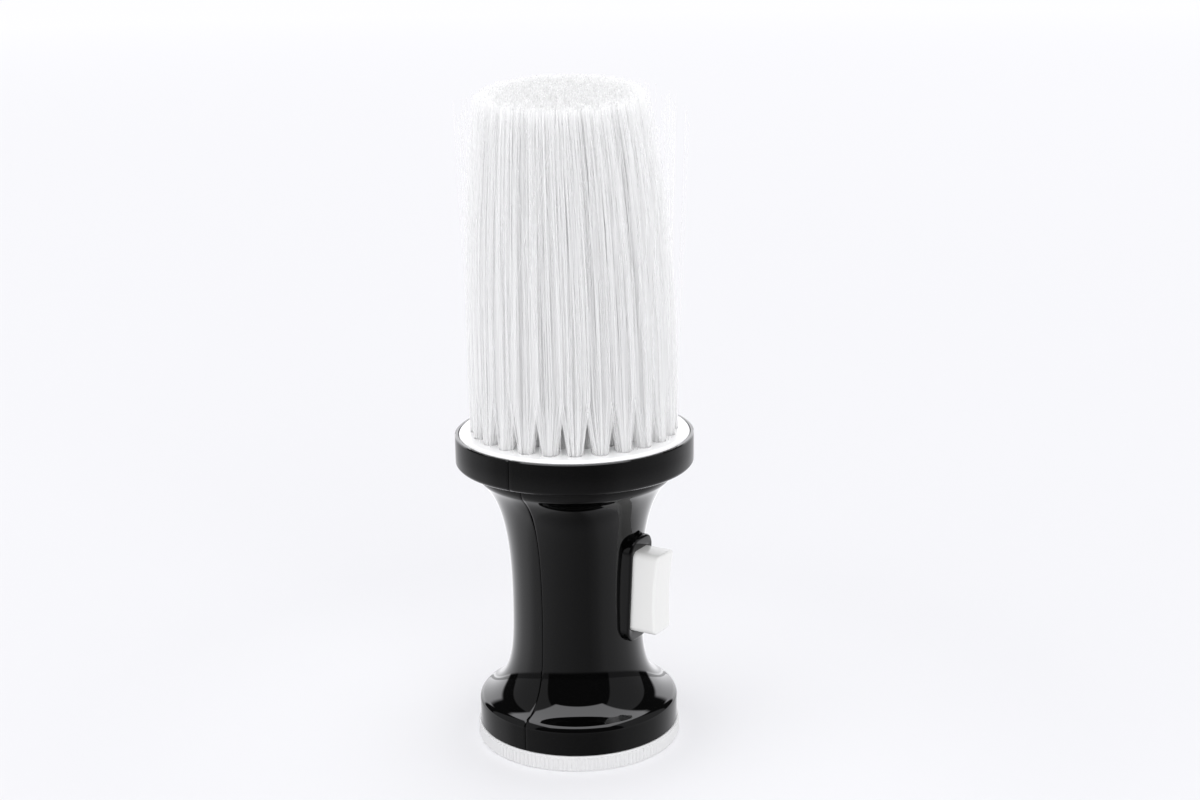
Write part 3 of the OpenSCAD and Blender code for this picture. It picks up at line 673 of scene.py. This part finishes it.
def handle_half(name, side_sign, node):
    """One half: side_sign is 1 for the half with the window and -1 for its plain mirror image."""
    bm = bmesh.new()
    start = Matrix.Rotation(-math.pi / 2, 3, "Z")
    points = [bm.verts.new(start @ Vector((p.x, 0, p.y))) for p in outline]
    loop = [bm.edges.new((a, b)) for a, b in zip(points, points[1:] + points[:1])]
    bmesh.ops.spin(bm, geom=points + loop, cent=(0, 0, 0), axis=(0, 0, 1), angle=math.pi,
                   steps=half_turn_steps, use_merge=False, use_duplicate=False)
    for sign in (-1, 1):
        rim_edges = [e for e in bm.edges if e.is_boundary and all(sign * v.co.y > 0 for v in e.verts)]
        bmesh.ops.triangle_fill(bm, edges=rim_edges, use_beauty=True)
    bmesh.ops.recalc_face_normals(bm, faces=bm.faces)
    seam = [e for e in bm.edges if all(abs(v.co.x) < 1e-6 for v in e.verts) and e.calc_face_angle(0) > 1]
    bmesh.ops.bevel(bm, geom=seam, offset=seam_bevel, segments=2, profile=0.5, affect="EDGES", material=-1)
    for v in bm.verts:
        if v.co.x < at_seam:
            flaw = math.exp(-((v.co.z - flaw_z) / flaw_spread) ** 2)
            v.co.x += seam_half_gap + seam_flaw * flaw * (v.co.y < 0)
    for y_sign in (-1, 1):
        for z in boss_heights:
            add_boss(bm, y_sign * (radius_at(z) - wall) * boss_reach, z)
    bmesh.ops.translate(bm, verts=[v for v in bm.verts if v.co.x < 1e-7], vec=(seam_half_gap, 0, 0))
    bmesh.ops.recalc_face_normals(bm, faces=bm.faces)
    if side_sign > 0:
        cut_window(bm)
    else:
        bmesh.ops.scale(bm, verts=bm.verts, vec=(-1, 1, 1))
        bmesh.ops.reverse_faces(bm, faces=bm.faces)
    dress(make_object(name, bm), black_abs, "handle", "black_abs", node)


handle_half("handle_front", 1, "handle_half_front")
handle_half("handle_rear", -1, "handle_half_rear")

# %% [markdown]
# ## Button and its frame
# Both are drawn as a chain of round-cornered loops that stand across the X axis and are bridged one to the
# next, as a section is swept round a path. Every loop starts as a circle whose quarters are moved apart, so
# all of them have the same number of points, and the bridges come out as clean quads.

# %% Round-cornered loops
loop_segments = 40


def rounded_loop(bm, width, height, corner, x):
    """A loop of edges with four round corners, width along Y and height along Z."""
    made = bmesh.ops.create_circle(bm, segments=loop_segments, radius=corner)["verts"]
    half_step = Matrix.Rotation(math.pi / loop_segments, 3, "Z")
    bmesh.ops.rotate(bm, verts=made, cent=(0, 0, 0), matrix=half_step)
    for sign_x in (-1, 1):
        for sign_y in (-1, 1):
            quarter = [v for v in made if v.co.x * sign_x > 0 and v.co.y * sign_y > 0]
            push = (sign_x * (height / 2 - corner), sign_y * (width / 2 - corner), 0)
            bmesh.ops.translate(bm, verts=quarter, vec=push)
    bmesh.ops.rotate(bm, verts=made, cent=(0, 0, 0), matrix=Matrix.Rotation(-math.pi / 2, 3, "Y"))
    bmesh.ops.translate(bm, verts=made, vec=(x, 0, button_z))
    return list({e for v in made for e in v.link_edges})


def slice_across(bm, height, count):
    """Adds level cuts, so that a long side can be bent."""
    for i in range(1, count):
        level = button_z + height * (i / count - 0.5)
        bmesh.ops.bisect_plane(bm, geom=bm.verts[:] + bm.edges[:] + bm.faces[:],
                               plane_co=(0, 0, level), plane_no=(0, 0, 1))


# %% [markdown]
# The frame is moulded in black with a round-edged face that leans out at the top. Its back follows the
# waist's curve, a hair off the skin, so a thin dark line runs round it. A sleeve goes on through the window.

# %% Frame
face_lean = math.tan(math.radians(3))
frame_w = frame_high.y - frame_low.y
frame_h = 30 * mm
frame_front = 20.4 * mm
sleeve_back = 14.27 * mm
on_skin = 1 * mm
skin_gap = 0.06 * mm
bore_w = 9.3 * mm
bore_h = 23.2 * mm
frame_corner, sleeve_corner, bore_corner = 4 * mm, 2.7 * mm, 1.95 * mm
face_round, bore_round = 0.7 * mm, 0.3 * mm
frame_cuts = 12

bm = bmesh.new()
chain = [
    rounded_loop(bm, frame_w, frame_h, frame_corner, frame_front),
    rounded_loop(bm, frame_w, frame_h, frame_corner, on_skin),
    rounded_loop(bm, sleeve_w, sleeve_h, sleeve_corner, on_skin / 2),
    rounded_loop(bm, sleeve_w, sleeve_h, sleeve_corner, sleeve_back),
    rounded_loop(bm, bore_w, bore_h, bore_corner, sleeve_back),
    rounded_loop(bm, bore_w, bore_h, bore_corner, frame_front),
]
outer_rim, inner_rim = chain[0], chain[-1]
for a, b in zip(chain, chain[1:] + chain[:1]):
    bridge(bm, a, b)
bmesh.ops.bevel(bm, geom=outer_rim, offset=face_round, segments=4, profile=0.5, affect="EDGES", material=-1)
bmesh.ops.bevel(bm, geom=inner_rim, offset=bore_round, segments=2, profile=0.5, affect="EDGES", material=-1)
slice_across(bm, frame_h, frame_cuts)
for v in bm.verts:
    if v.co.x < on_skin + 1e-6:
        v.co.x = math.sqrt((radius_at(v.co.z) + skin_gap) ** 2 - v.co.y ** 2)
    elif v.co.x > sleeve_back + 1 * mm:
        v.co.x += face_lean * (v.co.z - button_z)
bmesh.ops.recalc_face_normals(bm, faces=bm.faces)
dress(make_object("frame_round_button", bm), black_abs, "handle", "black_abs", "button_frame")

# %% [markdown]
# The button is a hollow white cap with a flange behind that stops it from falling out. Its face leans with
# the frame and is dished for the fingertip, and the edges of that face are well rounded.

# %% Button
button_w = 9 * mm
button_h = 22.9 * mm
button_front = 28 * mm
button_wall = 1.4 * mm
button_corner, hollow_corner = 1.8 * mm, 1 * mm
button_round = 0.8 * mm
button_cuts = 14
hollow_w, hollow_h = button_w - 2 * button_wall, button_h - 2 * button_wall
hollow_front = button_front - 2 * button_wall
flange_back = button_low.x
flange_front = flange_back + button_wall
dish = 0.8 * mm
face_depth = 1 * mm

bm = bmesh.new()
chain = [
    rounded_loop(bm, button_w, button_h, button_corner, button_front),
    rounded_loop(bm, button_w, button_h, button_corner, flange_front),
    rounded_loop(bm, sleeve_w, sleeve_h, sleeve_corner, flange_front),
    rounded_loop(bm, sleeve_w, sleeve_h, sleeve_corner, flange_back),
    rounded_loop(bm, hollow_w, hollow_h, hollow_corner, flange_back),
    rounded_loop(bm, hollow_w, hollow_h, hollow_corner, hollow_front),
]
for a, b in zip(chain, chain[1:]):
    bridge(bm, a, b)
bmesh.ops.contextual_create(bm, geom=chain[0])
bmesh.ops.contextual_create(bm, geom=chain[-1])
rim = [e for e in bm.edges if all(abs(v.co.x - button_front) < 1e-6 for v in e.verts)]
bmesh.ops.bevel(bm, geom=rim, offset=button_round, segments=5, profile=0.5, affect="EDGES", material=-1)
slice_across(bm, button_h, button_cuts)
for v in bm.verts:
    if v.co.x > button_front - face_depth:
        share = (v.co.z - button_z) / (button_h / 2)
        v.co.x += face_lean * (v.co.z - button_z) - dish * (1 - share ** 2)
bmesh.ops.recalc_face_normals(bm, faces=bm.faces)
dress(make_object("rounded_button", bm), white_abs, "button", "white_abs", "push_button")

# %% [markdown]
# ## Finishes on the CAD pieces
# The rest of the CAD pieces have their right shape already, so each only gets its material.

# %% Finishes by piece
finishes = {
    plate_plastic: ["tuft_plate"],
    cap_plastic: ["bottom_cap"],
    milky_plastic: [
        "powder_canister", "canister_lid", "air_dip_tube",
        "powder_tube_lower", "powder_tube_bend", "powder_tube_upper", "powder_nozzle",
    ],
    white_nylon: ["bellows_seat", "button_plunger", "locating_pins"],
    grey_rubber: ["inlet_flap", "outlet_flap", "cap_seal"],
    steel: ["tuft_anchors"],
}
for material, names in finishes.items():
    for name in names:
        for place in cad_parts[name].material_slots:
            place.material = material
    print(material.name, "on", len(names), "pieces")

# %% [markdown]
# The button presses the bellows and the spring inside it together. Rigid pieces would cut through the
# plunger as the button goes in. Both are copies of the CAD meshes, with doubled points merged, each on a mesh
# of its own.

# %% Copies of the bellows and spring
folding = (("bellows", grey_rubber, "grey_rubber"), ("button_spring", steel, "spring_steel"))
for node, material, slot in folding:
    bm = bmesh.new()
    bm.from_mesh(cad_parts[node].data)
    bmesh.ops.remove_doubles(bm, verts=bm.verts, dist=0.001 * mm)
    piece = make_object(node + "_folding", bm)
    dress(piece, material, "handle", slot, node)
    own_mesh(piece)

# %% [markdown]
# ## Bristles
# A brush head is tufts: each is a bundle of filaments folded over a metal anchor and driven into a blind
# hole. From the plate up, the round tufts stay apart for a while, then touch and merge. One filament is
# modelled, a three-sided tube of a few faces, and an Array modifier repeats it. Then all the copies are
# bent at once with array arithmetic, because a loop over every vertex would take minutes. Real filaments
# are finer and more, so these are drawn thick enough for some thirteen thousand of them to fill the head.

# %% One filament, repeated
filament_radius = 0.115 * mm
filament_rings = 6


def filament_bundle(name, count):
    """An object with count straight filaments of unit height, and the number of vertices in each."""
    bm = bmesh.new()
    bmesh.ops.create_circle(bm, segments=3, radius=1.0)
    for step in range(filament_rings):
        loop = [e for e in bm.edges if all(abs(v.co.z - step / filament_rings) < 1e-4 for v in e.verts)]
        grown = bmesh.ops.extrude_edge_only(bm, edges=loop)["geom"]
        tips = [v for v in grown if isinstance(v, bmesh.types.BMVert)]
        bmesh.ops.translate(bm, verts=tips, vec=(0, 0, 1 / filament_rings))
    bmesh.ops.contextual_create(bm, geom=[e for e in bm.edges if all(v.co.z > 0.99 for v in e.verts)])
    bmesh.ops.contextual_create(bm, geom=[e for e in bm.edges if all(v.co.z < 0.01 for v in e.verts)])
    bmesh.ops.recalc_face_normals(bm, faces=bm.faces)
    size = len(bm.verts)
    piece = make_object(name, bm)
    repeat = piece.modifiers.new("repeat", "ARRAY")
    repeat.count = count
    repeat.use_relative_offset = False
    repeat.use_constant_offset = True
    repeat.constant_offset_displace = (0, 0, 0)
    evaluated = piece.evaluated_get(bpy.context.evaluated_depsgraph_get())
    many = bpy.data.meshes.new_from_object(evaluated)
    piece.modifiers.clear()
    piece.data = many
    return piece, size


# %% [markdown]
# The head's outline stays wide up to half its height, then draws in towards the tips, where it has been
# trimmed to a shallow dome that slopes a little. A tuft is round where it leaves the plate. As it rises it
# spreads until it fills its own share of the ring, so the section goes from a disc to a block with four
# sides, and the innermost ring closes over the nozzle. The whole head leans slightly.

# %% Shape of the head
plate_z = flange_top + 0.6 * mm
brush_top = 180.6 * mm
outer_ring_r = 26.25 * mm
ring_spacing = 6.6 * mm
ring_twist = 7
tuft_r = 2.05 * mm
inner_ring_r = outer_ring_r - 3 * ring_spacing
head_lean = np.array([-math.cos(camera_azimuth), -math.sin(camera_azimuth)]) * 2.0 * mm
narrowing, narrowing_power = 0.235, 2.6
merge_height = 0.13
closing_height = 0.8
trim_dome = 1.2 / (450 * mm)
trim_slope = 0.12
trim_angle = math.radians(121.2)


def smooth_rise(u, end):
    """0 at the plate and 1 from a share of the height upwards."""
    rise = np.clip(u / end, 0, 1)
    return rise * rise * (3 - 2 * rise)


def head_radius(u):
    """The outline's radius at a share u of the height."""
    return (outer_ring_r + tuft_r) * (1 - narrowing * u ** narrowing_power)


def trimmed(x, y):
    """Height of the trimmed end above a point."""
    uphill = x * math.cos(trim_angle) + y * math.sin(trim_angle)
    return brush_top - trim_dome * (x * x + y * y) + trim_slope * uphill


def lay_filaments(piece, size, path, tops, thickness):
    """Bends straight filaments of unit height along path(u), which gives x and y for every filament."""
    count = len(tops)
    co = np.empty(len(piece.data.vertices) * 3)
    piece.data.vertices.foreach_get("co", co)
    co = co.reshape(count, size, 3)
    u = co[:, :, 2].copy()
    x, y = path(u)
    co[:, :, 0] = x + co[:, :, 0] * thickness[:, None]
    co[:, :, 1] = y + co[:, :, 1] * thickness[:, None]
    co[:, :, 2] = plate_z + (tops[:, None] - plate_z) * u
    piece.data.vertices.foreach_set("co", co.ravel())
    piece.data.update()


print("head from", round(plate_z / mm, 1), "to", round(brush_top / mm, 1), "mm")

# %% [markdown]
# A filament's path starts inside its tuft's hole. Random numbers give it a slight bow and drift, and make
# a few filaments a little longer or shorter than the trim. The seed keeps every run the same.

# %% Tufts
rng = np.random.default_rng(7)
filaments_per_tuft = 208
tuft_bow = 0.12 * mm
outer_drift, inner_drift = 0.8 * mm, 0.4 * mm
tuft_overlap = 1.25
trim_error = 0.15 * mm
short_share, short_by = 0.03, 2.5 * mm
thickness_error = 0.01 * mm


def tuft_path(ring_r, centre_angle, share, disc, block, bow, drift):
    """Paths of filaments. Disc and block are a filament's place in its tuft, low down and higher up."""
    def path(u):
        merged = smooth_rise(u, merge_height)
        reach = tuft_r + (ring_spacing / 2 - tuft_r) * merged
        out = tuft_r * disc[:, None, 0] * (1 - merged) + ring_spacing / 2 * block[:, None, 0] * merged
        along = tuft_r * disc[:, None, 1] * (1 - merged) + share / 2 * block[:, None, 1] * merged
        around = centre_angle[:, None] + along / ring_r
        inner = inner_ring_r - reach
        closed = inner * (1 - smooth_rise(u, closing_height))
        outwards = (ring_r + out - inner) / (outer_ring_r + reach - inner)
        radius = closed + outwards * (head_radius(u) - closed)
        place = []
        for axis, direction in enumerate((np.cos(around), np.sin(around))):
            line = radius * direction + bow[:, None, axis] * np.sin(np.pi * u) + drift[:, None, axis] * u
            place.append(line + head_lean[axis] * u * u)
        return place
    return path


def tuft_ring(name, node, ring, count):
    """A ring of tufts as one piece. Rings are counted inwards from 0."""
    total = count * filaments_per_tuft
    ring_r = outer_ring_r - ring * ring_spacing
    tuft_angles = 360 * np.arange(count) / count + ring_twist * ring
    centre_angle = np.radians(np.repeat(tuft_angles, filaments_per_tuft))
    turn_in_tuft = rng.uniform(0, 2 * np.pi, total)
    facing = np.stack([np.cos(turn_in_tuft), np.sin(turn_in_tuft)], axis=1)
    disc = np.sqrt(rng.uniform(0, 1, total))[:, None] * facing
    block = disc / np.abs(facing).max(axis=1)[:, None]
    bow = rng.normal(0, tuft_bow, (total, 2))
    drift = rng.normal(0, outer_drift if ring == 0 else inner_drift, (total, 2))
    share = tuft_overlap * 2 * np.pi * ring_r / count
    path = tuft_path(ring_r, centre_angle, share, disc, block, bow, drift)
    tip_x, tip_y = path(np.ones((total, 1)))
    tops = trimmed(tip_x[:, 0], tip_y[:, 0]) + rng.normal(0, trim_error, total)
    short = rng.uniform(0, 1, total) < short_share
    tops = tops - short * rng.uniform(0, short_by, total)
    piece, size = filament_bundle(name, total)
    lay_filaments(piece, size, path, tops, rng.normal(filament_radius, thickness_error, total))
    dress(piece, nylon, "handle", "nylon_bristle", node)
    print(name, total, "filaments")


tuft_ring("filaments_outer", "bristles_outer", 0, 25)
tuft_ring("filaments_second", "bristles_second", 1, 19)
tuft_ring("filaments_third", "bristles_third", 2, 12)
tuft_ring("filaments_inner", "bristles_inner", 3, 6)

# %% [markdown]
# No brush is perfectly combed. A few filaments of the outer ring stand straight up outside the rest.

# %% Stray filaments
stray_count = 120
stray_feet = (25 * mm, 28 * mm)
stray_splay = (0.98, 1.12)
stray_drift = 0.8 * mm
stray_short = 9 * mm
stray_radius = 0.09 * mm
angle = rng.uniform(0, 2 * np.pi, stray_count)
facing = np.stack([np.cos(angle), np.sin(angle)], axis=1)
foot = facing * rng.uniform(*stray_feet, stray_count)[:, None]
tip = foot * rng.uniform(*stray_splay, stray_count)[:, None] + rng.normal(0, stray_drift, (stray_count, 2))


def stray_path(u):
    """A straight line from the foot to the tip."""
    return [foot[:, None, axis] + (tip - foot)[:, None, axis] * u for axis in (0, 1)]


piece, size = filament_bundle("stray_filaments", stray_count)
tops = trimmed(tip[:, 0], tip[:, 1]) - rng.uniform(0, stray_short, stray_count)
lay_filaments(piece, size, stray_path, tops, np.full(stray_count, stray_radius))
dress(piece, nylon, "handle", "nylon_bristle")

# %% [markdown]
# A few more wander across their neighbours. They are drawn thicker than the rest, so that they show.

# %% Crossing filaments
crossing_count = 26
crossing_swirl = (0.25, 0.65)
crossing_out = (0.99, 1.02)
crossing_start = 0.25
crossing_short = 22 * mm
crossing_radius = 0.15 * mm
start = rng.uniform(0, 2 * np.pi, crossing_count)
swirl = rng.uniform(*crossing_swirl, crossing_count) * rng.choice([-1, -1, 1], crossing_count)
outward = rng.uniform(*crossing_out, crossing_count)


def crossing_path(u):
    """Up the head's outline, and round it by the swirl from a quarter of the height upwards."""
    rise = np.clip((u - crossing_start) / (1 - crossing_start), 0, 1)
    around = start[:, None] + swirl[:, None] * rise * rise
    radius = head_radius(u) * outward[:, None]
    return [radius * np.cos(around) + head_lean[0] * u * u, radius * np.sin(around) + head_lean[1] * u * u]


piece, size = filament_bundle("crossing_filaments", crossing_count)
tip_x, tip_y = crossing_path(np.ones((crossing_count, 1)))
tops = trimmed(tip_x[:, 0], tip_y[:, 0]) - rng.uniform(0, crossing_short, crossing_count)
lay_filaments(piece, size, crossing_path, tops, np.full(crossing_count, crossing_radius))
dress(piece, nylon, "handle", "nylon_bristle")
